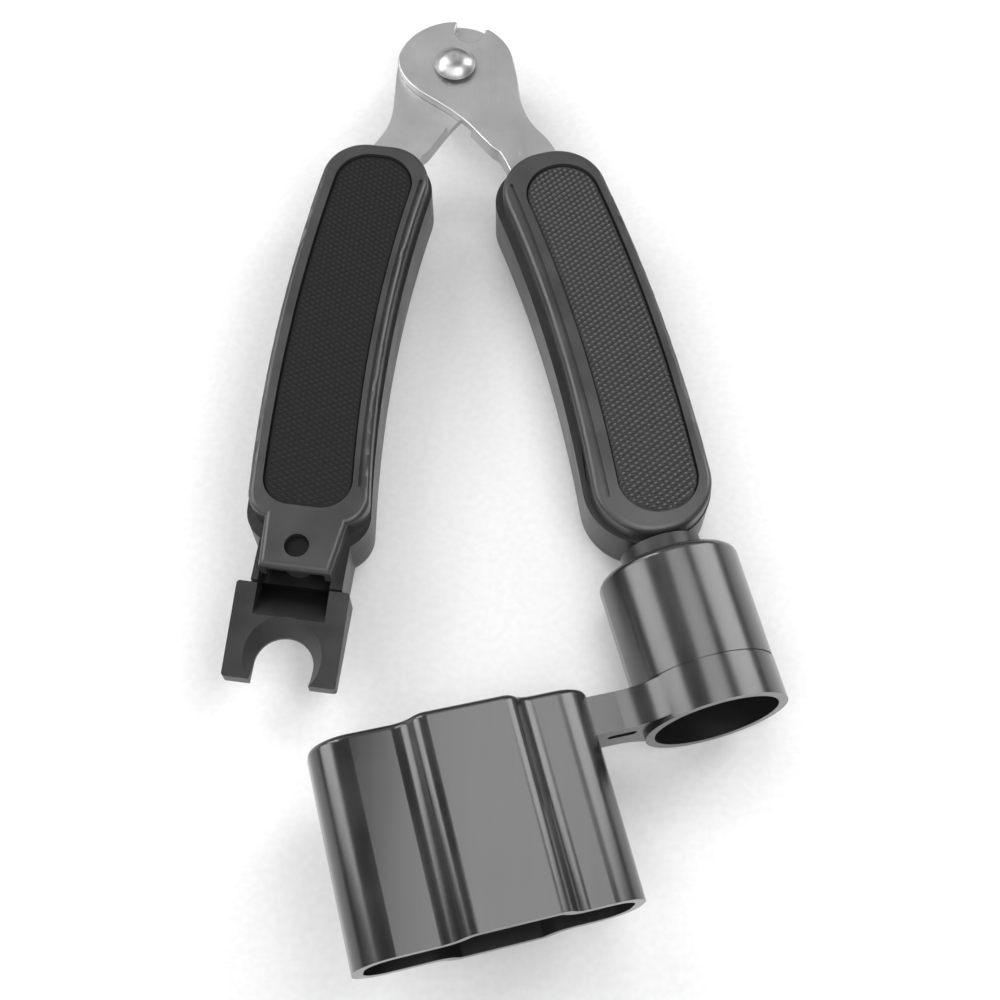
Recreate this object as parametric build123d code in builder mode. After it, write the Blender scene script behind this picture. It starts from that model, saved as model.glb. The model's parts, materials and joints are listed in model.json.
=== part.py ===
"""String winder: plier-style wire cutter, crank winder on one handle, bridge-pin puller on the other.

The tool lies on its back. +Z is up, out of the front of the tool, and +Y points to the cutter head.
The origin is the middle of the footprint, on the surface that the tool rests on. Millimetres.
"""
from build123d import *
from math import atan2, cos, degrees, radians, sin, sqrt
import os

os.makedirs("parts", exist_ok=True)

# ------------------------------------------------------------------ driving dimensions
# Where the two arms cross, and how far the handles stand open.
pivot_x = -8.32
pivot_y = 72.43
mid_height = 10.74          # mid-plane of the handles and crank axis, above the rest surface
winder_angle = 14.5         # winder arm, degrees counter-clockwise from straight down
puller_angle = -7.5         # puller arm
crank_turn = 8.0            # how far the crank is turned up out of the handle plane

# Cutter plates: two identical stampings, half-lapped at the pivot.
plate_thickness = 3.0
lap_clearance = 0.05        # each plate stands this far off the shared lap plane
head_radius = 10.4
lap_radius = 12.5
lap_offset = 1.0
tang_end = -60.0
notch_radius = 2.7
notch_distance = 8.8
notch_angle = 31.5          # degrees off the arm's own axis
screw_rows = (-38.0, -54.0)
screw_across = 8.6

# Pivot rivet.
rivet_diameter = 4.0
rivet_head_diameter = 7.2
rivet_head_height = 1.9
washer_diameter = 5.8
washer_thickness = 0.7
pivot_clearance = 0.06
rivet_foot_diameter = 7.0
rivet_foot_height = 1.3

# Handle shells, measured from the handle's mid-plane.
back_face = -7.5
parting = 3.0
front_face = 6.5
wall = 1.8
grip_recess = 1.3
grip_inset = 0.45           # the grip's land lies this far under the rim
grip_gap = 0.05
shell_cavity_floor = -4.9
screw_diameter = 2.5
screw_head_diameter = 4.6
screw_head_height = 1.7
boss_diameter = 6.2

# Winder crank, on its own axis: a sleeve, an arm and a tuning-key cup in one moulding.
crank_offset = 8.0          # axis, outboard of the winder arm's centre line
rim_distance = 125.2        # open rim of the sleeve, along the arm from the pivot
sleeve_length = 24.3
sleeve_top_radius = 10.75
sleeve_rim_radius = 10.55
sleeve_wall = 1.25
hub_radius = 5.6
hub_bottom = 11.5
hub_roof = 22.3
spindle_radius = 4.0
spindle_clearance = 0.08
neck_radius = 6.2
neck_start = -97.6
arm_bottom = 0.7
arm_top = 6.3
arm_half_depth = 3.7
ring_height = 6.3            # the arm's ring round the sleeve, a little proud of it
ring_proud = 0.12
ring_line_depth = 0.12       # fine moulded line round the sleeve, just above the ring
ring_line_width = 0.35
arm_blend = 8.0              # radius that runs the arm's faces into its ring
cup_top = 7.5
cup_mouth = -22.3
cup_wall = 1.5
cup_near = 18.2
cup_far = 58.1
cup_lobe_half = 6.5
cup_centre = 36.9
cup_centre_half = 9.3
cup_centre_flat = 6.6
cup_centre_base = 8.6

# Bridge-pin fork.
fork_centre = 9.4
fork_half_width = 8.5
fork_tip = -115.6
fork_shoulder = -101.6
fork_back = -2.5
fork_root_half = 5.4
pin_half_width = 4.45
pin_centre = -112.6
fork_screw_row = -96.6


def arm_plane(angle):
    """Plane of one arm: origin at the pivot on the mid-plane, +Y along the arm towards the head."""
    direction = (cos(radians(angle)), sin(radians(angle)), 0)
    return Plane(origin=(pivot_x, pivot_y, mid_height), x_dir=direction, z_dir=(0, 0, 1))


winder = arm_plane(winder_angle)
puller = arm_plane(puller_angle)

# The crank's own plane: origin in the sleeve's open rim, +Z along its axis to the handle,
# +X out along the crank arm, +Y out of the front of the cup.
crank_axis_point = winder.from_local_coords((crank_offset, -rim_distance, 0))
crank_out = winder.x_dir * -cos(radians(crank_turn)) + winder.z_dir * sin(radians(crank_turn))
crank_plane = Plane(origin=crank_axis_point, x_dir=crank_out, z_dir=winder.y_dir)


def save(part, name):
    """Label one finished piece and write it to its own file."""
    part.label = name
    export_step(part, f"parts/{name}.step")


# ------------------------------------------------------------------ cutter plates
def plate_outline():
    """Plate of the winder arm. The puller arm's plate is the same stamping turned over."""
    inner_points = [(-9.1, -0.6), (-6.0, -5.6), (-1.2, -12.3), (2.1, -19.2), (3.9, -27.0)]
    outer_points = [(12.4, -24.0), (11.8, -20.0), (10.3, -16.6), (9.4, -13.0), (9.5, -9.0)]
    bite = radians(notch_angle)
    with BuildSketch() as outline:
        with BuildLine():
            head = CenterArc((0, 0), head_radius, -3, 153)
            inner = Spline(head @ 1, *inner_points, tangents=(head % 1, (0.1, -1)))
            inner_run = Line(inner @ 1, (4.9, tang_end))
            end_run = Line(inner_run @ 1, (12.3, tang_end))
            outer_run = Line(end_run @ 1, outer_points[0])
            Spline(*outer_points, head @ 0, tangents=(outer_run % 1, head % 0))
        make_face()
        # String-cutting notch, a round bite out of the head's edge.
        with Locations((notch_distance * sin(bite), notch_distance * cos(bite))):
            Circle(notch_radius, mode=Mode.SUBTRACT)
        horns = outline.vertices().filter_by(
            lambda v: v.Y > 4 and abs((v.X**2 + v.Y**2) ** 0.5 - head_radius) < 0.01
        )
        fillet(horns, 0.5)
    return outline.sketch


def cutter_plate(plane, side, bore):
    """One steel plate. Its head keeps the front half of the thickness (side 1) or the back half."""
    half = plate_thickness / 2
    outline = plate_outline()
    with BuildPart() as blank:
        with BuildSketch(Plane.XY.offset(-half)):
            add(outline)
        extrude(amount=plate_thickness)
    turned = blank.part if side == 1 else blank.part.mirror(Plane.YZ)
    with BuildPart() as plate:
        add(plane.location * turned)
        outer_face = plate.faces().sort_by(Axis.Z)[-1 if side == 1 else 0]
        fillet(outer_face.edges(), 0.25)
        # Half-lap: the other arm's head turns in this space.
        lap_floor = -half if side == 1 else -lap_clearance
        with BuildSketch(plane.offset(lap_floor)):
            with Locations((-side * lap_offset, -lap_offset)):
                Circle(lap_radius)
        extrude(amount=half + lap_clearance, mode=Mode.SUBTRACT)
        # Pivot bore and the holes for the handle screws.
        with BuildSketch(plane.offset(-half)):
            Circle(bore)
            with Locations(*[(side * screw_across, row) for row in screw_rows]):
                Circle(screw_diameter / 2)
        extrude(amount=plate_thickness, mode=Mode.SUBTRACT)
    return plate.part


save(cutter_plate(winder, 1, rivet_diameter / 2), "front_cutter_plate")
save(cutter_plate(puller, -1, rivet_diameter / 2 + pivot_clearance), "rear_cutter_plate")

# ------------------------------------------------------------------ pivot
plate_front = plate_thickness / 2
with BuildPart() as pivot_washer:
    with BuildSketch(winder.offset(plate_front)):
        Circle(washer_diameter / 2)
        Circle(rivet_diameter / 2, mode=Mode.SUBTRACT)
    extrude(amount=washer_thickness)
    chamfer(pivot_washer.faces().sort_by(Axis.Z)[-1].outer_wire().edges(), 0.12)
save(pivot_washer.part, "pivot_washer")

rivet_section = Plane(origin=winder.origin, x_dir=winder.x_dir, z_dir=-winder.y_dir)
rivet_head_base = plate_front + washer_thickness
rivet_foot_base = -plate_front - 0.06
with BuildPart() as pivot_rivet:
    with BuildSketch(rivet_section):
        with BuildLine():
            shank = Line((0, rivet_foot_base), (0, rivet_head_base + rivet_head_height))
            crown = (rivet_head_diameter / 2 * 0.72, rivet_head_base + rivet_head_height * 0.72)
            dome = ThreePointArc(shank @ 1, crown, (rivet_head_diameter / 2, rivet_head_base + 0.25))
            brim = Line(dome @ 1, (rivet_head_diameter / 2, rivet_head_base))
            seat = Line(brim @ 1, (rivet_diameter / 2, rivet_head_base))
            side_run = Line(seat @ 1, (rivet_diameter / 2, rivet_foot_base))
            Line(side_run @ 1, shank @ 0)
        make_face()
    revolve(axis=Axis(winder.origin, (0, 0, 1)))
    with BuildSketch(winder.offset(rivet_foot_base)):
        Circle(rivet_foot_diameter / 2)
    extrude(amount=-rivet_foot_height)
    fillet(pivot_rivet.edges().group_by(Axis.Z)[0], 0.7)
save(pivot_rivet.part, "pivot_rivet")


# ------------------------------------------------------------------ handle outlines
def banana(side, inner, outer, top, bottom, corner):
    """Bent four-sided outline. inner and outer give each long side at its top, middle and bottom."""
    middle = (top + bottom) / 2
    with BuildSketch() as outline:
        with BuildLine():
            rows = (top, middle, bottom)
            inner_arc = ThreePointArc(*[(side * x, y) for x, y in zip(inner, rows)])
            outer_arc = ThreePointArc(*[(side * x, y) for x, y in zip(outer, rows)])
            Line(inner_arc @ 0, outer_arc @ 0)
            Line(inner_arc @ 1, outer_arc @ 1)
        make_face()
        fillet(outline.vertices().sort_by(Axis.Y)[-2:], corner[0])
        fillet(outline.vertices().sort_by(Axis.Y)[:2], corner[1])
    return outline.sketch


def inset(sides, shift):
    """Move a long side across the handle."""
    return tuple(x + shift for x in sides)


# Long sides of each handle, across from the arm's centre line at the top, middle and bottom.
winder_inner = (-1.9, 0.3, -2.7)
winder_outer = (17.0, 19.3, 17.4)
winder_top = -25.4
puller_inner = (-1.4, 1.7, -1.1)
puller_outer = (17.3, 19.9, 18.1)
puller_top = -22.4
puller_bottom = -95.4


def back_shell_body(plane, side, outline, cavity, grip, plate_cut):
    """Hollow back shell with a recess for the back grip, two screw bosses and a slot for the tang."""
    with BuildPart() as shell:
        with BuildSketch(plane.offset(back_face)):
            add(outline)
        extrude(amount=parting - back_face)
        fillet(shell.faces().sort_by(Axis.Z)[0].edges(), 2.6)
        with BuildSketch(plane.offset(shell_cavity_floor)):
            add(cavity)
        extrude(amount=parting - shell_cavity_floor, mode=Mode.SUBTRACT)
        with BuildSketch(plane.offset(shell_cavity_floor)):
            with Locations(*[(side * screw_across, row) for row in screw_rows]):
                Circle(boss_diameter / 2)
        extrude(amount=-plate_front - shell_cavity_floor)
        with BuildSketch(plane.offset(back_face)):
            add(grip)
        extrude(amount=grip_recess, mode=Mode.SUBTRACT)
        with BuildSketch(plane.offset(back_face)):
            with Locations(*[(side * screw_across, row) for row in screw_rows]):
                Circle(screw_diameter / 2)
        extrude(amount=parting - back_face, mode=Mode.SUBTRACT)
        with BuildSketch(plane.offset(back_face)):
            with Locations(*[(side * screw_across, row) for row in screw_rows]):
                Circle(screw_head_diameter / 2 + 0.1)
        extrude(amount=grip_recess + screw_head_height, mode=Mode.SUBTRACT)
        with BuildSketch(plane.offset(-plate_front)):
            add(plate_cut)
        extrude(amount=plate_thickness, mode=Mode.SUBTRACT)
    return shell.part


def grip_pad(plane, outline, floor, height):
    """Soft grip: a flat pad with a rounded edge that fills its recess nearly to the rim."""
    with BuildPart() as pad:
        with BuildSketch(plane.offset(floor)):
            add(outline)
            offset(amount=-grip_gap, mode=Mode.REPLACE)
        extrude(amount=height)
        top = pad.faces().sort_by(Axis.Z)[-1 if height > 0 else 0]
        fillet(top.edges(), 0.35)
    return pad.part


def handle_screws(plane, side):
    """Two pan-head screws, put in from the back, through the tang and into the front shell."""
    head_base = back_face + grip_recess + screw_head_height
    with BuildPart() as screws:
        for row in screw_rows:
            with BuildSketch(plane.offset(head_base)):
                with Locations((side * screw_across, row)):
                    Circle(screw_head_diameter / 2)
            extrude(amount=-screw_head_height + 0.2)
            with BuildSketch(plane.offset(head_base)):
                with Locations((side * screw_across, row)):
                    Circle(screw_diameter / 2)
            extrude(amount=parting + 1.2 - head_base)
            with BuildSketch(plane.offset(head_base - screw_head_height + 0.2)):
                with Locations((side * screw_across, row)):
                    Rectangle(2.6, 0.6)
                    Rectangle(0.6, 2.6)
            extrude(amount=0.8, mode=Mode.SUBTRACT)
    return screws.part


def front_shell_body(plane, side, outline, lip, groove, grip):
    """Front cover: a plate with a rounded rim, a groove inside its inner edge and a recess for the grip."""
    with BuildPart() as shell:
        with BuildSketch(plane.offset(parting)):
            add(outline)
        extrude(amount=front_face - parting)
        fillet(shell.faces().sort_by(Axis.Z)[-1].edges(), 0.9)
        with BuildSketch(plane.offset(parting)):
            add(lip)
        extrude(amount=-1.2)
        with BuildSketch(plane.offset(parting)):
            with Locations(*[(side * screw_across, row) for row in screw_rows]):
                Circle(boss_diameter / 2)
        extrude(amount=plate_front - parting)
        with BuildSketch(plane.offset(plate_front)):
            with Locations(*[(side * screw_across, row) for row in screw_rows]):
                Circle(screw_diameter / 2)
        extrude(amount=parting + 1.2 - plate_front, mode=Mode.SUBTRACT)
        with BuildSketch(plane.offset(front_face - grip_recess)):
            add(grip)
        extrude(amount=grip_recess, mode=Mode.SUBTRACT)
        with BuildSketch(plane.offset(front_face - 0.45)):
            add(groove)
        extrude(amount=0.45, mode=Mode.SUBTRACT)
    return shell.part


def edge_groove(side, points, width):
    """Thin curved groove that follows the inner long side of a front shell."""
    with BuildSketch() as groove:
        with BuildLine():
            near = ThreePointArc(*[(side * x, y) for x, y in points])
            far = ThreePointArc(*[(side * (x + width), y) for x, y in reversed(points)])
            Line(near @ 1, far @ 0)
            Line(far @ 1, near @ 0)
        make_face()
    return groove.sketch


def tang_slot(side):
    """Straight-sided slot that a plate's tang slides into, a little wider than the tang."""
    with BuildSketch() as slot:
        with BuildLine():
            corners = [(3.4, -20.0), (12.7, -20.0), (12.4, tang_end - 0.1), (4.8, tang_end - 0.1)]
            Polyline(*[(side * x, y) for x, y in corners], close=True)
        make_face()
    return slot.sketch


def grown(sketch, amount):
    """A copy of an outline, offset outwards or, with a negative amount, inwards."""
    return offset(sketch, amount=amount)


# ------------------------------------------------------------------ winder handle
winder_outline = banana(1, winder_inner, winder_outer, winder_top, neck_start, (8.0, 9.4))
winder_cavity = banana(
    1, inset(winder_inner, wall), inset(winder_outer, -wall), winder_top - wall, -89.0, (6.2, 4.0)
)
winder_grip_front = banana(1, (3.2, 5.1, 2.9), (15.5, 17.3, 15.4), -28.9, -94.4, (6.0, 6.0))
winder_grip_back = banana(1, (2.4, 4.2, 2.0), (13.9, 15.8, 13.8), -30.4, -92.6, (5.6, 5.6))
winder_cover = banana(
    1, inset(winder_inner, 1.2), inset(winder_outer, -0.3), winder_top - 0.2, neck_start + 0.3, (8.0, 8.7)
)
winder_lip = grown(winder_cavity, -0.15) - grown(winder_cavity, -0.95)

winder_body = back_shell_body(winder, 1, winder_outline, winder_cavity, winder_grip_back, tang_slot(1))
neck_plane = Plane(
    origin=winder.from_local_coords((crank_offset, neck_start, 0)), x_dir=winder.x_dir, z_dir=-winder.y_dir
)
neck_length = rim_distance - sleeve_length + neck_start - 0.15
spindle_length = rim_distance - hub_bottom + neck_start + 0.2
with BuildPart() as winder_handle_back_shell:
    add(winder_body)
    with BuildSketch(neck_plane):
        Circle(neck_radius)
    extrude(amount=neck_length)
    with BuildSketch(neck_plane):
        Circle(spindle_radius)
    extrude(amount=spindle_length)
    with BuildSketch(neck_plane.offset(spindle_length - 11.0)):
        Circle(1.5)
    extrude(amount=11.0, mode=Mode.SUBTRACT)
    neck_rim = winder_handle_back_shell.edges().filter_by(GeomType.CIRCLE)
    neck_rim = neck_rim.filter_by(lambda edge: abs(edge.radius - neck_radius) < 0.001)
    chamfer(neck_rim.sort_by(Axis.Y)[:1], 0.4)
save(winder_handle_back_shell.part, "winder_handle_back_shell")

winder_groove = edge_groove(1, [(1.85, -31.0), (2.9, -60.0), (1.4, -90.0)], 0.5)
save(
    front_shell_body(winder, 1, winder_cover, winder_lip, winder_groove, winder_grip_front),
    "winder_handle_front_shell",
)
front_grip_floor = front_face - grip_recess
front_grip_height = grip_recess - grip_inset
save(grip_pad(winder, winder_grip_front, front_grip_floor, front_grip_height), "winder_front_grip")
save(
    grip_pad(winder, winder_grip_back, back_face + grip_recess, grip_inset - grip_recess),
    "winder_back_grip",
)
save(handle_screws(winder, 1), "winder_handle_screws")

# ------------------------------------------------------------------ puller handle
neck_near = 2.1
neck_far = 15.8
neck_end = -101.4
tongue_root = (2.4, 15.3)
tongue_tip = (3.8, 14.5)
tongue_end = -100.3
tongue_wall = 1.0
neck_floor = fork_back
neck_base = -5.2


def block(side, near, far, low, high):
    """Upright rectangle across one arm, given by its two sides and its two ends."""
    with BuildSketch() as area:
        with Locations((side * (near + far) / 2, (low + high) / 2)):
            Rectangle(far - near, high - low)
    return area.sketch


def wedge(sides_low, sides_high, low, high):
    """Symmetric or leaning four-sided area of the puller arm, given by its sides at both ends."""
    with BuildSketch() as area:
        with BuildLine():
            Polyline(
                (-sides_low[0], low),
                (-sides_low[1], low),
                (-sides_high[1], high),
                (-sides_high[0], high),
                close=True,
            )
        make_face()
    return area.sketch


puller_outline = banana(-1, puller_inner, puller_outer, puller_top, puller_bottom, (7.0, 5.6))
puller_cavity = banana(
    -1, inset(puller_inner, wall), inset(puller_outer, -wall), puller_top - wall, -84.0, (2.2, 4.0)
)
puller_grip_front_area = banana(-1, (1.9, 4.4, 2.4), (15.1, 17.5, 16.2), -24.8, -90.2, (5.8, 4.6))
puller_grip_back_area = banana(-1, (2.0, 4.6, 2.4), (14.2, 16.6, 15.2), -26.4, -89.0, (4.0, 4.6))
puller_plate = banana(
    -1, inset(puller_inner, 0.5), inset(puller_outer, -0.15), puller_top - 0.1, -92.4, (7.0, 4.2)
)
with BuildSketch() as cover_with_tongue:
    add(puller_plate)
    add(wedge(tongue_tip, tongue_root, tongue_end, -90.0))
    shoulders = cover_with_tongue.vertices().filter_by(lambda v: abs(v.Y + 92.4) < 0.01)
    fillet(shoulders, 1.5)
puller_cover = cover_with_tongue.sketch
puller_lip = grown(puller_cavity, -0.15) - grown(puller_cavity, -0.95)

neck_area = block(-1, neck_near, neck_far, neck_end, -90.0)
channel_area = block(-1, fork_centre - fork_root_half, fork_centre + fork_root_half, neck_end, -88.0)
puller_body = back_shell_body(puller, -1, puller_outline, puller_cavity, puller_grip_back_area, tang_slot(-1))
with BuildPart() as puller_handle_back_shell:
    add(puller_body)
    with BuildSketch(puller.offset(neck_base)):
        add(neck_area)
    extrude(amount=parting - neck_base)
    # Channel for the fork's root, open at the front and at the end.
    with BuildSketch(puller.offset(neck_floor)):
        add(channel_area)
    extrude(amount=parting - neck_floor, mode=Mode.SUBTRACT)
    with BuildSketch(puller.offset(neck_base)):
        with Locations((-fork_centre, fork_screw_row)):
            Circle(screw_diameter / 2)
    extrude(amount=neck_floor - neck_base, mode=Mode.SUBTRACT)
save(puller_handle_back_shell.part, "puller_handle_back_shell")

puller_groove = edge_groove(-1, [(1.1, -29.0), (3.0, -60.0), (1.6, -86.0)], 0.5)
puller_front = front_shell_body(
    puller, -1, puller_cover, puller_lip, puller_groove, puller_grip_front_area
)
plug_diameter = 3.7
plug_depth = 0.8
plug_thickness = 0.7
post_radius = 2.9
screw_seat = 3.4
tongue_hollow = block(-1, tongue_tip[0] + tongue_wall, tongue_tip[1] - tongue_wall, tongue_end, -88.0)
with BuildPart() as puller_handle_front_shell:
    add(puller_front)
    # Hollow under the tongue, open at its end, with a post round the screw.
    with BuildSketch(puller.offset(parting)):
        add(tongue_hollow)
    extrude(amount=2.1, mode=Mode.SUBTRACT)
    with BuildSketch(puller.offset(1.0)):
        with Locations((-fork_centre, fork_screw_row)):
            Circle(post_radius)
    extrude(amount=parting + 2.1 - 1.0)
    with BuildSketch(puller.offset(1.0)):
        with Locations((-fork_centre, fork_screw_row)):
            Circle(screw_diameter / 2)
    extrude(amount=screw_seat - 1.0, mode=Mode.SUBTRACT)
    with BuildSketch(puller.offset(screw_seat)):
        with Locations((-fork_centre, fork_screw_row)):
            Circle(plug_diameter / 2)
    extrude(amount=front_face - screw_seat, mode=Mode.SUBTRACT)
save(puller_handle_front_shell.part, "puller_handle_front_shell")
save(grip_pad(puller, puller_grip_front_area, front_grip_floor, front_grip_height), "puller_front_grip")
save(
    grip_pad(puller, puller_grip_back_area, back_face + grip_recess, grip_inset - grip_recess),
    "puller_back_grip",
)
save(handle_screws(puller, -1), "puller_handle_screws")

with BuildPart() as tongue_plug:
    with BuildSketch(puller.offset(front_face - plug_depth)):
        with Locations((-fork_centre, fork_screw_row)):
            Circle(plug_diameter / 2)
    extrude(amount=-plug_thickness)
    chamfer(tongue_plug.faces().sort_by(Axis.Z)[-1].edges(), 0.15)
save(tongue_plug.part, "tongue_plug")

with BuildPart() as fork_screw:
    with BuildSketch(puller.offset(screw_seat)):
        with Locations((-fork_centre, fork_screw_row)):
            Circle(plug_diameter / 2 - 0.1)
    extrude(amount=1.4)
    with BuildSketch(puller.offset(screw_seat)):
        with Locations((-fork_centre, fork_screw_row)):
            Circle(screw_diameter / 2)
    extrude(amount=neck_base + 0.6 - screw_seat)
    with BuildSketch(puller.offset(screw_seat + 1.4)):
        with Locations((-fork_centre, fork_screw_row)):
            Rectangle(2.4, 0.6)
            Rectangle(0.6, 2.4)
    extrude(amount=-0.7, mode=Mode.SUBTRACT)
save(fork_screw.part, "fork_screw")

# ------------------------------------------------------------------ bridge-pin fork
# The fork is a wedge: full height at its shoulder, thin at the tips.
fork_side_plane = Plane(
    origin=puller.from_local_coords((-fork_centre - fork_half_width, 0, 0)),
    x_dir=puller.y_dir,
    z_dir=puller.x_dir,
)
shoulder_height = 2.6
lead_in_floor = -1.9
lead_in_height = 4.6
lead_in_slope = 0.6
tip_height = -0.3
root_height = 1.0
root_area = block(-1, fork_centre - fork_root_half, fork_centre + fork_root_half, fork_shoulder, -88.2)
notch_area = block(-1, fork_centre - pin_half_width, fork_centre + pin_half_width, fork_tip, pin_centre)
with BuildPart() as pin_fork:
    with BuildSketch(fork_side_plane):
        with BuildLine():
            Polyline(
                (fork_tip, fork_back),
                (fork_shoulder, fork_back),
                (fork_shoulder, shoulder_height),
                (fork_tip, tip_height),
                close=True,
            )
        make_face()
    extrude(amount=2 * fork_half_width)
    fillet(pin_fork.edges().filter_by(Axis.Z), 0.5)
    # Root, clamped in the neck of the handle.
    with BuildSketch(puller.offset(fork_back)):
        add(root_area)
    extrude(amount=root_height - fork_back)
    with BuildSketch(puller.offset(fork_back)):
        with Locations((-fork_centre, fork_screw_row)):
            Circle(screw_diameter / 2)
    extrude(amount=root_height - fork_back, mode=Mode.SUBTRACT)
    # Ramp from the tongue's hollow up to the notch.
    with BuildSketch(fork_side_plane.offset(fork_half_width - fork_root_half)):
        with BuildLine():
            Polyline((-106.4, 3.0), (-106.4, 1.7), (-101.0, -0.9), (-101.0, 3.0), close=True)
        make_face()
    extrude(amount=2 * fork_root_half, mode=Mode.SUBTRACT)
    # Notch that takes the neck of a bridge pin, with a conical lead-in for its head.
    with BuildSketch(puller.offset(fork_back)):
        with Locations((-fork_centre, pin_centre)):
            Circle(pin_half_width)
        add(notch_area)
    extrude(amount=shoulder_height - fork_back, mode=Mode.SUBTRACT)
    with Locations(puller.offset(lead_in_floor) * Location((-fork_centre, pin_centre, 0))):
        Cone(
            pin_half_width,
            pin_half_width + lead_in_slope * lead_in_height,
            lead_in_height,
            align=(Align.CENTER, Align.CENTER, Align.MIN),
            mode=Mode.SUBTRACT,
        )
save(pin_fork.part, "pin_fork")

# ------------------------------------------------------------------ crank
cup_length = cup_top - cup_mouth
cup_middle = (cup_near + cup_far) / 2


def cup_outline(shrink):
    """Plan of the tuning-key cup: a long slot with round ends and a thick middle lobe."""
    with BuildSketch() as plan:
        with Locations((cup_middle, 0)):
            RectangleRounded(cup_far - cup_near, 2 * cup_lobe_half, 5.4)
        with BuildLine():
            Polyline(
                (cup_centre - cup_centre_base, 0),
                (cup_centre - cup_centre_base, cup_lobe_half),
                (cup_centre - cup_centre_flat, cup_centre_half),
                (cup_centre + cup_centre_flat, cup_centre_half),
                (cup_centre + cup_centre_base, cup_lobe_half),
                (cup_centre + cup_centre_base, 0),
                close=True,
            )
        make_face()
        mirror(about=Plane.XZ)
        crests = plan.vertices().filter_by(lambda v: abs(abs(v.Y) - cup_centre_half) < 0.01)
        fillet(crests, 2.4)
        waists = plan.vertices().filter_by(
            lambda v: abs(abs(v.Y) - cup_lobe_half) < 0.01
            and abs(abs(v.X - cup_centre) - cup_centre_base) < 0.01
        )
        fillet(waists, 2.8)
        if shrink:
            offset(amount=-shrink, mode=Mode.REPLACE)
    return plan.sketch


def arm_outline():
    """Plan of the crank's arm, widened by an arc on each side until it is tangent to its ring."""
    ring_radius = sleeve_rim_radius + ring_proud
    centre_y = arm_half_depth + arm_blend
    centre_x = sqrt((ring_radius + arm_blend) ** 2 - centre_y**2)
    lean = degrees(atan2(centre_y, centre_x))
    arm_end = cup_near + 1.0
    with BuildSketch() as plan:
        with BuildLine():
            blend = CenterArc((centre_x, centre_y), arm_blend, 180 + lean, 90 - lean)
            Line(blend @ 1, (arm_end, arm_half_depth))
            Line((arm_end, arm_half_depth), (arm_end, 0))
            Line((arm_end, 0), ((blend @ 0).X, 0))
            Line(((blend @ 0).X, 0), blend @ 0)
        make_face()
        mirror(about=Plane.XZ)
    return plan.sketch


arm_plan = arm_outline()
cup_plan = cup_outline(0)
cup_hollow = cup_outline(cup_wall)
with BuildPart() as crank:
    # Sleeve, slightly tapered, with a rounded top edge.
    with BuildSketch(crank_plane):
        Circle(sleeve_rim_radius)
    with BuildSketch(crank_plane.offset(sleeve_length)):
        Circle(sleeve_top_radius)
    loft()
    fillet(crank.faces().sort_by(Axis(crank_plane.origin, crank_plane.z_dir))[-1].edges(), 1.2)
    with BuildSketch(crank_plane):
        Circle(sleeve_rim_radius + ring_proud)
    extrude(amount=ring_height)
    with BuildSketch(crank_plane.offset(ring_height)):
        Circle(sleeve_top_radius + 1.0)
        Circle(sleeve_rim_radius - ring_line_depth, mode=Mode.SUBTRACT)
    extrude(amount=ring_line_width, mode=Mode.SUBTRACT)
    # Cup.
    with BuildSketch(crank_plane.offset(cup_mouth)):
        add(cup_plan)
    extrude(amount=cup_length)
    cup_roof = crank.faces().filter_by(
        lambda face: abs(crank_plane.to_local_coords(face.center()).Z - cup_top) < 0.01
    )
    fillet(cup_roof.edges(), 0.9)
    # Arm between them.
    with BuildSketch(crank_plane.offset(arm_bottom)):
        add(arm_plan)
    extrude(amount=arm_top - arm_bottom)
    # Hollow of the sleeve round its hub, and the hub's bore.
    with BuildSketch(crank_plane):
        Circle(sleeve_rim_radius - sleeve_wall)
    extrude(amount=hub_bottom, mode=Mode.SUBTRACT)
    with BuildSketch(crank_plane.offset(hub_bottom)):
        Circle(sleeve_rim_radius - sleeve_wall)
        Circle(hub_radius, mode=Mode.SUBTRACT)
    extrude(amount=hub_roof - hub_bottom, mode=Mode.SUBTRACT)
    with BuildSketch(crank_plane.offset(hub_bottom)):
        Circle(spindle_radius + spindle_clearance)
    extrude(amount=sleeve_length - hub_bottom, mode=Mode.SUBTRACT)
    # Hollow of the cup, and the round coring pocket under the arm.
    with BuildSketch(crank_plane.offset(cup_mouth)):
        add(cup_hollow)
    extrude(amount=cup_length - 1.6, mode=Mode.SUBTRACT)
    with BuildSketch(crank_plane.offset(arm_bottom)):
        with Locations((14.4, 0.7)):
            SlotOverall(4.4, 1.5)
    extrude(amount=2.6, mode=Mode.SUBTRACT)
save(crank.part, "crank")

with BuildPart() as crank_washer:
    with BuildSketch(crank_plane.offset(hub_bottom - 0.2)):
        Circle(hub_radius - 0.1)
        Circle(1.5, mode=Mode.SUBTRACT)
    extrude(amount=-0.8)
save(crank_washer.part, "crank_washer")

with BuildPart() as crank_screw:
    with BuildSketch(crank_plane.offset(hub_bottom - 1.0)):
        Circle(3.0)
    extrude(amount=-2.0)
    fillet(crank_screw.edges().sort_by(Axis(crank_plane.origin, crank_plane.z_dir))[0], 0.7)
    with BuildSketch(crank_plane.offset(hub_bottom - 1.0)):
        Circle(1.5)
    extrude(amount=10.6)
    with BuildSketch(crank_plane.offset(hub_bottom - 3.0)):
        Rectangle(3.2, 0.7)
        Rectangle(0.7, 3.2)
    extrude(amount=1.0, mode=Mode.SUBTRACT)
save(crank_screw.part, "crank_screw")
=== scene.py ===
"""Looks of the string winder: materials on the CAD nodes, moulded grips, floor, lights and camera."""

import bmesh
import bpy
import json
from math import atan2, cos, pi, radians, sin
from mathutils import Matrix, Vector
from mathutils.kdtree import KDTree
import numpy as np


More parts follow.
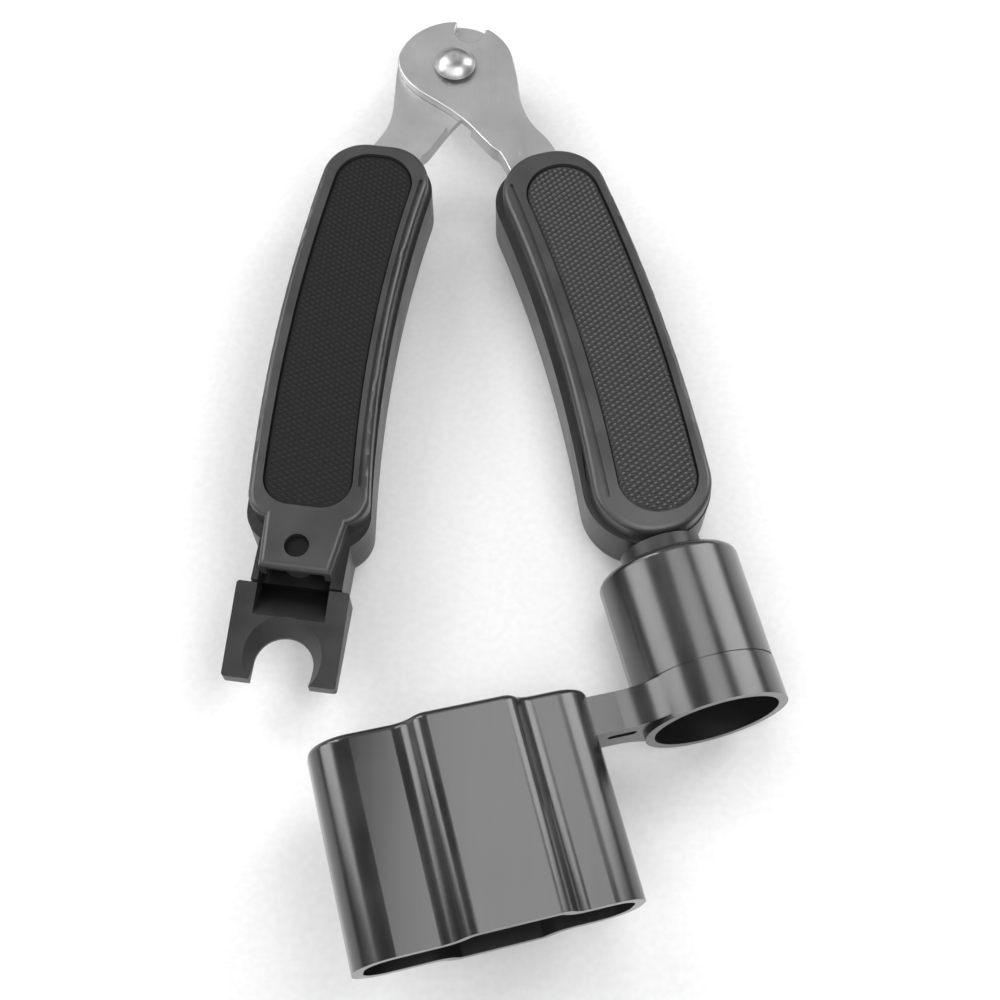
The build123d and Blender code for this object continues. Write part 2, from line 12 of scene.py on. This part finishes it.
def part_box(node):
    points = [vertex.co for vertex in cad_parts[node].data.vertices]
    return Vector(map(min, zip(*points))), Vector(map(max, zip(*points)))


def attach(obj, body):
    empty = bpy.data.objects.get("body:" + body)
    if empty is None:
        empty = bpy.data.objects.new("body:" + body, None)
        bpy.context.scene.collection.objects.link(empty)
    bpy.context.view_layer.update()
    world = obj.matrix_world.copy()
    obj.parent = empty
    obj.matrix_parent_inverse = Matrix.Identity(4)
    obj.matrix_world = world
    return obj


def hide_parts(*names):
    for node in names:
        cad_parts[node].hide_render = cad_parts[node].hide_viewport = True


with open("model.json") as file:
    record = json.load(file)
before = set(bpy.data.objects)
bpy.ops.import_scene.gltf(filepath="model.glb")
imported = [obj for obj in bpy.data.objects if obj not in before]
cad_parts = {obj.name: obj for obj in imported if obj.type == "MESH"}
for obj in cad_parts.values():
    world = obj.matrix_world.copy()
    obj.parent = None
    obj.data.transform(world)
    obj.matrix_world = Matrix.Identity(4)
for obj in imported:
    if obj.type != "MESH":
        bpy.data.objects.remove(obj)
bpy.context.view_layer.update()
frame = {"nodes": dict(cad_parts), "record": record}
mm = 0.001

joints = {joint["name"]: joint for joint in frame["record"]["behaviour"]["joints"]}
pivot = Vector(joints["plier_hinge"]["pos_m"])
crank_line = Vector(joints["crank_spin"]["axis"])
winder_angle = atan2(crank_line.x, -crank_line.y)
puller_angle = radians(-7.5)

# The fork in the puller arm's own plan, whose origin is the pivot. These bound the painted shade at the foot
# of the fork's ramp.
fork_centre = 9.4 * mm
fork_root_half = 5.35 * mm
ramp_top = -106.2 * mm
ramp_foot = -102.6 * mm


# ------------------------------------------------------------------ material helpers
class Nodes:
    """Short way to build one node material whose texture space is the part's own rest position."""

    def __init__(self, name):
        self.material = bpy.data.materials.new(name)
        self.material.use_nodes = True
        self.tree = self.material.node_tree
        self.shader = self.tree.nodes["Principled BSDF"]
        self.place = self.tree.nodes.new("ShaderNodeTexCoord").outputs["Object"]

    def node(self, kind, **values):
        made = self.tree.nodes.new(kind)
        for key, value in values.items():
            setattr(made, key, value)
        return made

    def link(self, source, target):
        self.tree.links.new(source, target)
        return target

    def mapped(self, turn=0.0, stretch=(1, 1, 1)):
        """The rest position turned about Z and stretched."""
        mapping = self.node("ShaderNodeMapping")
        mapping.inputs["Rotation"].default_value = (0, 0, turn)
        mapping.inputs["Scale"].default_value = stretch
        self.link(self.place, mapping.inputs["Vector"])
        return mapping.outputs["Vector"]

    def from_point(self, centre):
        """The rest position measured from a point."""
        offset = self.node("ShaderNodeVectorMath", operation="SUBTRACT")
        offset.inputs[1].default_value = centre
        self.link(self.place, offset.inputs[0])
        return offset.outputs["Vector"]

    def noise(self, per_metre, detail=3.0, rough=0.5, where=None):
        made = self.node("ShaderNodeTexNoise")
        made.inputs["Scale"].default_value = per_metre
        made.inputs["Detail"].default_value = detail
        made.inputs["Roughness"].default_value = rough
        self.link(where or self.place, made.inputs["Vector"])
        return made.outputs["Fac"]

    def span(self, source, low, high, start=0.35, end=0.65):
        """A number that goes from low to high as the source goes from start to end."""
        made = self.node("ShaderNodeMapRange")
        for key, value in (("From Min", start), ("From Max", end), ("To Min", low), ("To Max", high)):
            made.inputs[key].default_value = value
        self.link(source, made.inputs["Value"])
        return made.outputs["Result"]

    def tint(self, source, dark, light, start=0.35, end=0.65):
        """A colour between two greys."""
        made = self.node("ShaderNodeValToRGB")
        first, last = made.color_ramp.elements
        first.position, last.position = start, end
        first.color = (*dark, 1)
        last.color = (*light, 1)
        self.link(source, made.inputs["Fac"])
        return made.outputs["Color"]

    def math(self, operation, a, b):
        made = self.node("ShaderNodeMath", operation=operation)
        for socket, value in zip(made.inputs, (a, b)):
            if isinstance(value, (int, float)):
                socket.default_value = value
            else:
                self.link(value, socket)
        return made.outputs["Value"]

    def bump(self, height, strength, distance, normal=None):
        made = self.node("ShaderNodeBump")
        made.inputs["Strength"].default_value = strength
        made.inputs["Distance"].default_value = distance
        self.link(height, made.inputs["Height"])
        if normal is not None:
            self.link(normal, made.inputs["Normal"])
        return made.outputs["Normal"]

    def finish(self, colour, roughness, normal, metal=0.0, specular=0.5, coat=0.0, coat_rough=0.1):
        shader = self.shader.inputs
        self.link(colour, shader["Base Color"])
        self.link(roughness, shader["Roughness"])
        self.link(normal, shader["Normal"])
        shader["Metallic"].default_value = metal
        shader["Specular IOR Level"].default_value = specular
        shader["Coat Weight"].default_value = coat
        shader["Coat Roughness"].default_value = coat_rough
        return self.material


def moulded_plastic(name, dark, light, rough_low, rough_high, grain, specular=0.5, adjust=None):
    """Moulded plastic: fine spark-eroded grain, faint cloudiness, a few handling marks."""
    made = Nodes(name)
    cloud = made.noise(160, 4.0)
    fine = made.noise(5200, 2.0)
    marks = made.noise(420, 5.0, 0.7, made.mapped(winder_angle, (1, 0.12, 1)))
    mixed = made.math("ADD", made.math("MULTIPLY", cloud, 0.7), made.math("MULTIPLY", fine, 0.3))
    colour = made.tint(mixed, dark, light)
    worn = made.span(marks, -0.03, 0.05, 0.55, 0.75)
    roughness = made.math("ADD", made.span(cloud, rough_low, rough_high), worn)
    normal = made.bump(fine, grain, 0.05 * mm)
    made.finish(colour, roughness, normal, specular=specular)
    if adjust is not None:
        adjust(made)
    return made.material


def paint_ramp_shade(made):
    """Paints the fork's root and the foot of its ramp, between the prongs, nearly black: painted shade for
    the recess there, which lies in shadow.
    """
    turned = made.node("ShaderNodeMapping")
    turned.inputs["Rotation"].default_value = (0, 0, -puller_angle)
    made.link(made.from_point(pivot), turned.inputs["Vector"])
    plan = made.node("ShaderNodeSeparateXYZ")
    made.link(turned.outputs["Vector"], plan.inputs["Vector"])
    across = made.math("ABSOLUTE", made.math("ADD", plan.outputs["X"], fork_centre), 0)
    between = made.math("LESS_THAN", across, fork_root_half)
    foot = made.span(plan.outputs["Y"], 0.0, 0.88, ramp_top, ramp_foot)
    # Painted shade: the base colour is scaled towards black between the prongs at the ramp's foot.
    shade = made.math("SUBTRACT", 1.0, made.math("MULTIPLY", between, foot))
    scaled = made.node("ShaderNodeVectorMath", operation="SCALE")
    base = made.shader.inputs["Base Color"]
    made.link(base.links[0].from_socket, scaled.inputs[0])
    made.link(shade, scaled.inputs["Scale"])
    made.link(scaled.outputs["Vector"], base)


def polished_plastic(name):
    """Smooth black moulding with faint flow lines along the draw of the mould."""
    made = Nodes(name)
    cloud = made.noise(120, 3.0)
    flow = made.noise(900, 3.0, 0.6, made.mapped(-winder_angle, (1, 0.06, 1)))
    fine = made.noise(6500, 2.0)
    colour = made.tint(cloud, (0.012, 0.012, 0.012), (0.020, 0.020, 0.020))
    roughness = made.math("ADD", made.span(flow, 0.20, 0.23), made.span(cloud, 0.0, 0.03))
    normal = made.bump(fine, 0.10, 0.02 * mm, made.bump(flow, 0.03, 0.04 * mm))
    return made.finish(colour, roughness, normal, specular=0.75, coat=0.25, coat_rough=0.18)


def grip_rubber(name, dark, light, roughness, specular):
    """Rubber: matte, with painted shade in the hollows of the moulding and a little real dust tone, worn a
    little smoother on its bumps.
    """
    made = Nodes(name)
    relief = made.node("ShaderNodeAttribute", attribute_name="relief").outputs["Fac"]
    dust = made.noise(900, 4.0, 0.6)
    fine = made.noise(9000, 2.0)
    # Painted shade: the relief darkens the colour in the hollows, where shade falls; the dust noise adds
    # real tone.
    mixed = made.math("ADD", made.math("MULTIPLY", relief, 0.8), made.math("MULTIPLY", dust, 0.2))
    colour = made.tint(mixed, dark, light, 0.26, 0.82)
    polish = made.span(relief, 0.1, 0.0, 0.0, 1.0)
    rough = made.math("ADD", polish, made.span(dust, roughness - 0.04, roughness + 0.04))
    return made.finish(colour, rough, made.bump(fine, 0.12, 0.03 * mm), specular=specular)


def stamped_steel(name, turn, dark, light, rough_low, rough_high):
    """Tumbled sheet steel: fine grain, faint rolling lines and small pits."""
    made = Nodes(name)
    cloud = made.noise(140, 4.0, 0.6)
    grain = made.noise(5200, 3.0)
    rolling = made.noise(2600, 3.0, 0.7, made.mapped(turn, (1, 0.03, 1)))
    pits = made.noise(1500, 2.0, 0.4)
    mixed = made.math("ADD", made.math("MULTIPLY", cloud, 0.8), made.math("MULTIPLY", rolling, 0.2))
    colour = made.tint(mixed, dark, light)
    pit_dullness = made.span(pits, 0.0, 0.12, 0.62, 0.72)
    roughness = made.math("ADD", made.span(mixed, rough_low, rough_high), pit_dullness)
    lines = made.math("ADD", grain, made.math("MULTIPLY", rolling, 0.4))
    height = made.math("SUBTRACT", lines, made.span(pits, 0.0, 2.0, 0.66, 0.74))
    return made.finish(colour, roughness, made.bump(height, 0.14, 0.04 * mm), metal=1.0)


def turned_metal(name, centre, dark, light, rough_low, rough_high):
    """Headed or plated steel with faint rings about the vertical through a centre."""
    made = Nodes(name)
    wave = made.node("ShaderNodeTexWave", wave_type="RINGS", rings_direction="Z")
    wave.inputs["Scale"].default_value = 900
    wave.inputs["Distortion"].default_value = 3.0
    made.link(made.from_point(centre), wave.inputs["Vector"])
    cloud = made.noise(900, 4.0)
    colour = made.tint(cloud, dark, light)
    roughness = made.span(cloud, rough_low, rough_high)
    return made.finish(colour, roughness, made.bump(wave.outputs["Fac"], 0.01, 0.01 * mm), metal=1.0)


# ------------------------------------------------------------------ materials
handle_plastic = moulded_plastic(
    "handle_plastic", (0.030, 0.030, 0.031), (0.044, 0.044, 0.045), 0.33, 0.41, 0.30, specular=0.6
)
# Darker copy of the front shells' plastic for the back shells: painted shade for their flanks.
shaded_shell_plastic = moulded_plastic(
    "shaded_shell_plastic", (0.016, 0.016, 0.017), (0.025, 0.025, 0.026), 0.34, 0.42, 0.30, specular=0.4
)
# The fork's plastic carries painted shade at its root and the foot of its ramp.
fork_plastic = moulded_plastic(
    "fork_plastic", (0.016, 0.016, 0.017), (0.026, 0.026, 0.027), 0.36, 0.46, 0.30, adjust=paint_ramp_shade
)
plug_plastic = moulded_plastic(
    "plug_plastic", (0.004, 0.004, 0.004), (0.009, 0.009, 0.009), 0.55, 0.65, 0.25, specular=0.15
)
crank_plastic = polished_plastic("crank_plastic")
winder_rubber = grip_rubber("winder_rubber", (0.002, 0.002, 0.002), (0.105, 0.105, 0.106), 0.42, 0.6)
puller_rubber = grip_rubber("puller_rubber", (0.005, 0.005, 0.005), (0.014, 0.014, 0.015), 0.60, 0.3)
front_steel = stamped_steel("front_steel", -winder_angle, (0.50, 0.50, 0.50), (0.58, 0.58, 0.58), 0.38, 0.46)
rear_steel = stamped_steel("rear_steel", -puller_angle, (0.50, 0.50, 0.50), (0.58, 0.58, 0.58), 0.38, 0.46)
rivet_steel = turned_metal("rivet_steel", pivot, (0.52, 0.52, 0.52), (0.58, 0.58, 0.58), 0.36, 0.40)
screw_steel = turned_metal("screw_steel", pivot, (0.30, 0.30, 0.31), (0.42, 0.42, 0.43), 0.28, 0.38)
# The washers are darker than the rivet: painted shade for the shadow gap under the rivet head.
washer_steel = turned_metal("washer_steel", pivot, (0.20, 0.20, 0.21), (0.30, 0.30, 0.31), 0.35, 0.45)

finishes = {
    "front_cutter_plate": front_steel,
    "rear_cutter_plate": rear_steel,
    "pivot_rivet": rivet_steel,
    "pivot_washer": washer_steel,
    "crank_washer": washer_steel,
    "crank_screw": screw_steel,
    "fork_screw": screw_steel,
    "winder_handle_screws": screw_steel,
    "puller_handle_screws": screw_steel,
    "winder_handle_back_shell": shaded_shell_plastic,
    "winder_handle_front_shell": handle_plastic,
    "puller_handle_back_shell": shaded_shell_plastic,
    "puller_handle_front_shell": handle_plastic,
    "pin_fork": fork_plastic,
    "tongue_plug": plug_plastic,
    "crank": crank_plastic,
}
for node_name, finish in finishes.items():
    for place in frame["nodes"][node_name].material_slots:
        place.material = finish


# ------------------------------------------------------------------ moulded grips
def outline_of(node, facing):
    """Closed outline of a grip's flat floor in its row-frame plan, as pairs of edge ends, in metres."""
    mesh = frame["nodes"][node].data
    book = bmesh.new()
    book.from_mesh(mesh)
    bmesh.ops.remove_doubles(book, verts=book.verts, dist=1e-6)
    floor = [face for face in book.faces if face.normal.z * facing < -0.99]
    runs = []
    for face in floor:
        for edge in face.edges:
            if any(other.normal.z * facing > -0.99 for other in edge.link_faces):
                runs.append([tuple(vert.co) for vert in edge.verts])
    book.free()
    return np.array(runs)


# Two families of ridges cross at a slant; their crossings are the bumps.
ridges = ((radians(26), 0.87 * mm), (radians(-33), 0.76 * mm))
crest_sharpness = 0.8


def weave(x, y):
    """Height of the moulding, 0 to 1, at a point of the arm's own plan."""
    height = 1.0
    for slant, period in ridges:
        phase = (-sin(slant) * x + cos(slant) * y) / period
        height *= (0.5 + 0.5 * cos(2 * pi * phase)) ** crest_sharpness
    return height


# How the field of bumps meets the pad's rim.
rim_spacing = 0.1 * mm       # between the points that a distance to the rim is measured from
rim_round = 0.35 * mm        # radius of the pad's rounded edge
fade_start = 0.25 * mm       # plain margin inside the rim
fade_run = 0.5 * mm          # over which the bumps grow to their full height
hollow_share = 0.35          # how far the hollows go below the land, as a share of the bumps' height
pad_width = 13 * mm
end_margin = 0.01 * mm


def moulded_grip(name, node, body, facing, angle, relief, rubber, step):
    """A grip pad whose face is a close field of small slanted bumps, inside the CAD pad's own outline."""
    turn = np.array([[cos(angle), sin(angle)], [-sin(angle), cos(angle)]])
    runs = outline_of(node, facing)
    flat = (runs[:, :, :2] - np.array(pivot[:2])) @ turn.T
    low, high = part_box(node)
    floor, top = (low.z, high.z) if facing > 0 else (high.z, low.z)
    border = []
    for start, end in flat:
        count = max(2, int(np.hypot(*(end - start)) / rim_spacing))
        border.extend(start + (end - start) * k / count for k in range(count))
    tree = KDTree(len(border))
    for index, point in enumerate(border):
        tree.insert((*point, 0), index)
    tree.balance()
    y_low, y_high = flat[:, :, 1].min(), flat[:, :, 1].max()
    rows = int((y_high - y_low) / step)
    lines = np.linspace(y_low + end_margin, y_high - end_margin, rows + 1)
    columns = int(pad_width / step)
    points, faces, reliefs = [], [], []
    first_y, last_y = flat[:, 0, 1], flat[:, 1, 1]
    hollow = hollow_share * relief
    for y in lines:
        crossing = (np.minimum(first_y, last_y) <= y) & (np.maximum(first_y, last_y) > y)
        cut = flat[crossing]
        x = cut[:, 0, 0] + (cut[:, 1, 0] - cut[:, 0, 0]) * (y - cut[:, 0, 1]) / (cut[:, 1, 1] - cut[:, 0, 1])
        for column in range(columns + 1):
            share = column / columns
            across = x.min() + (x.max() - x.min()) * share
            inset = tree.find((across, y, 0))[2]
            edge = min(inset / rim_round, 1.0)
            shoulder = rim_round * (1 - (1 - (1 - edge) ** 2) ** 0.5)
            fade = min(max((inset - fade_start) / fade_run, 0.0), 1.0)
            bulge = weave(across, y) * fade
            height = relief * bulge - hollow * fade
            reliefs.append(bulge)
            points.append((across, y, top + facing * (height - shoulder)))
    width = columns + 1
    for row in range(rows):
        for column in range(columns):
            a = row * width + column
            faces.append((a, a + 1, a + width + 1, a + width))
    # Sides and floor: a copy of the rim on the floor of the recess.
    rim = (
        [column for column in range(width)]
        + [row * width + columns for row in range(1, rows + 1)]
        + [rows * width + column for column in range(columns - 1, -1, -1)]
        + [row * width for row in range(rows - 1, 0, -1)]
    )
    base = len(points)
    points.extend((points[k][0], points[k][1], floor) for k in rim)
    for k in range(len(rim)):
        after = (k + 1) % len(rim)
        faces.append((rim[k], base + k, base + after, rim[after]))
    faces.append(tuple(base + k for k in range(len(rim)))[::-1])
    if facing < 0:
        faces = [face[::-1] for face in faces]
    mesh = bpy.data.meshes.new(name)
    mesh.from_pydata(points, [], faces)
    mesh.transform(Matrix.Translation((pivot.x, pivot.y, 0)) @ Matrix.Rotation(angle, 4, "Z"))
    mesh.shade_smooth()
    mesh.materials.append(rubber)
    # The relief attribute also drives the rubber's painted shade in the hollows.
    shade = mesh.attributes.new("relief", "FLOAT", "POINT")
    shade.data.foreach_set("value", reliefs + [0.0] * (len(points) - len(reliefs)))
    pad = bpy.data.objects.new(name, mesh)
    bpy.context.scene.collection.objects.link(pad)
    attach(pad, body)
    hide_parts(node)
    return pad


for arm, angle, rubber, relief in (
    ("winder", winder_angle, winder_rubber, 0.62 * mm),
    ("puller", puller_angle, puller_rubber, 0.34 * mm),
):
    for side, facing, step in (("front", 1, 0.14 * mm), ("back", -1, 0.19 * mm)):
        node = f"{arm}_{side}_grip"
        moulded_grip(
            f"{node}_moulding", node, f"{arm}_arm", facing, angle, relief, rubber, step
        )

# ------------------------------------------------------------------ floor and surround
floor_mesh = bpy.data.meshes.new("floor")
reach = 0.9
corners = [(-reach, -reach, 0), (reach, -reach, 0), (reach, reach, 0), (-reach, reach, 0)]
floor_mesh.from_pydata(corners, [], [(0, 1, 2, 3)])
floor = bpy.data.objects.new("floor", floor_mesh)
bpy.context.scene.collection.objects.link(floor)
paper = Nodes("floor_paper")
paper_grain = paper.noise(900, 4.0)
floor_mesh.materials.append(
    paper.finish(
        paper.tint(paper_grain, (0.86, 0.86, 0.86), (0.90, 0.90, 0.90)),
        paper.span(paper_grain, 0.85, 0.95),
        paper.bump(paper_grain, 0.05, 0.05 * mm),
        specular=0.1,
    )
)

# Pale surround behind the floor's far edge. Only the camera sees it, so it lights nothing.
surround_mesh = bpy.data.meshes.new("surround")
surround_radius = 3.0
book = bmesh.new()
bmesh.ops.create_uvsphere(book, u_segments=48, v_segments=24, radius=surround_radius)
book.to_mesh(surround_mesh)
book.free()
surround_mesh.shade_smooth()
surround_glow = bpy.data.materials.new("surround_glow")
surround_glow.use_nodes = True
glow = surround_glow.node_tree.nodes["Principled BSDF"].inputs
glow["Base Color"].default_value = (0, 0, 0, 1)
glow["Emission Color"].default_value = (1, 1, 1, 1)
glow["Emission Strength"].default_value = 0.88
surround_mesh.materials.append(surround_glow)
surround = bpy.data.objects.new("surround", surround_mesh)
bpy.context.scene.collection.objects.link(surround)
surround.visible_diffuse = False
surround.visible_glossy = False
surround.visible_transmission = False
surround.visible_shadow = False

# ------------------------------------------------------------------ lights
scene = bpy.context.scene
scene.view_settings.view_transform = "Standard"
scene.view_settings.look = "None"
world = bpy.data.worlds.new("studio")
world.use_nodes = True
world.node_tree.nodes["Background"].inputs["Color"].default_value = (1, 1, 1, 1)
world.node_tree.nodes["Background"].inputs["Strength"].default_value = 0.10
scene.world = world


def softbox(name, direction, distance, size, power, aim=(0, -0.01, 0.01)):
    """Rectangular area light that looks at the tool from a direction."""
    lamp = bpy.data.lights.new(name, "AREA")
    lamp.shape = "RECTANGLE"
    lamp.size, lamp.size_y = size
    lamp.energy = power
    holder = bpy.data.objects.new(name, lamp)
    where = Vector(aim) + Vector(direction).normalized() * distance
    facing = (Vector(aim) - where).to_track_quat("-Z", "Y")
    holder.location = where
    holder.rotation_euler = facing.to_euler()
    scene.collection.objects.link(holder)
    return holder


# A small box close above the crank lights the front of its cup and arm.
overhead = softbox("overhead", (0.0, 0.0, 1.0), 0.112, (0.060, 0.125), 0.078, aim=(0.034, -0.030, 0.016))
overhead.visible_camera = False
softbox("key_front", (-0.1, -0.75, 0.9), 1.2, (2.4, 1.3), 13.5)
# Strips round the back and the sides, for the bands of light along the round plastic.
strip_distance = 0.8
for count, direction in enumerate(((-0.42, 0.42, 0.66), (-0.66, 0.42, 0.52))):
    softbox(f"strip_left_{count + 1}", direction, strip_distance, (0.10, 0.40), 1.1)
softbox("strip_side", (-0.865, 0.086, 0.494), strip_distance, (0.26, 0.50), 2.0)
softbox("back_box", (0.0, 0.74, 0.67), strip_distance, (0.9, 0.22), 0.62)
softbox("strip_right", (0.70, 0.45, 0.52), strip_distance, (0.30, 0.55), 2.5)

# ------------------------------------------------------------------ camera
camera_data = bpy.data.cameras.new("camera")
camera = bpy.data.objects.new("camera", camera_data)
scene.collection.objects.link(camera)
elevation = radians(65)
camera_distance = 223.08 * mm
camera_aim = Vector((-0.37, -11.77, 10.74)) * mm
camera.location = camera_aim + Vector((0, -cos(elevation), sin(elevation))) * camera_distance
camera.rotation_euler = (pi / 2 - elevation, 0, 0)
camera_data.sensor_width = 36.0
camera_data.lens = 52.2
camera_data.clip_start = 0.01
camera_data.dof.use_dof = False
scene.camera = camera
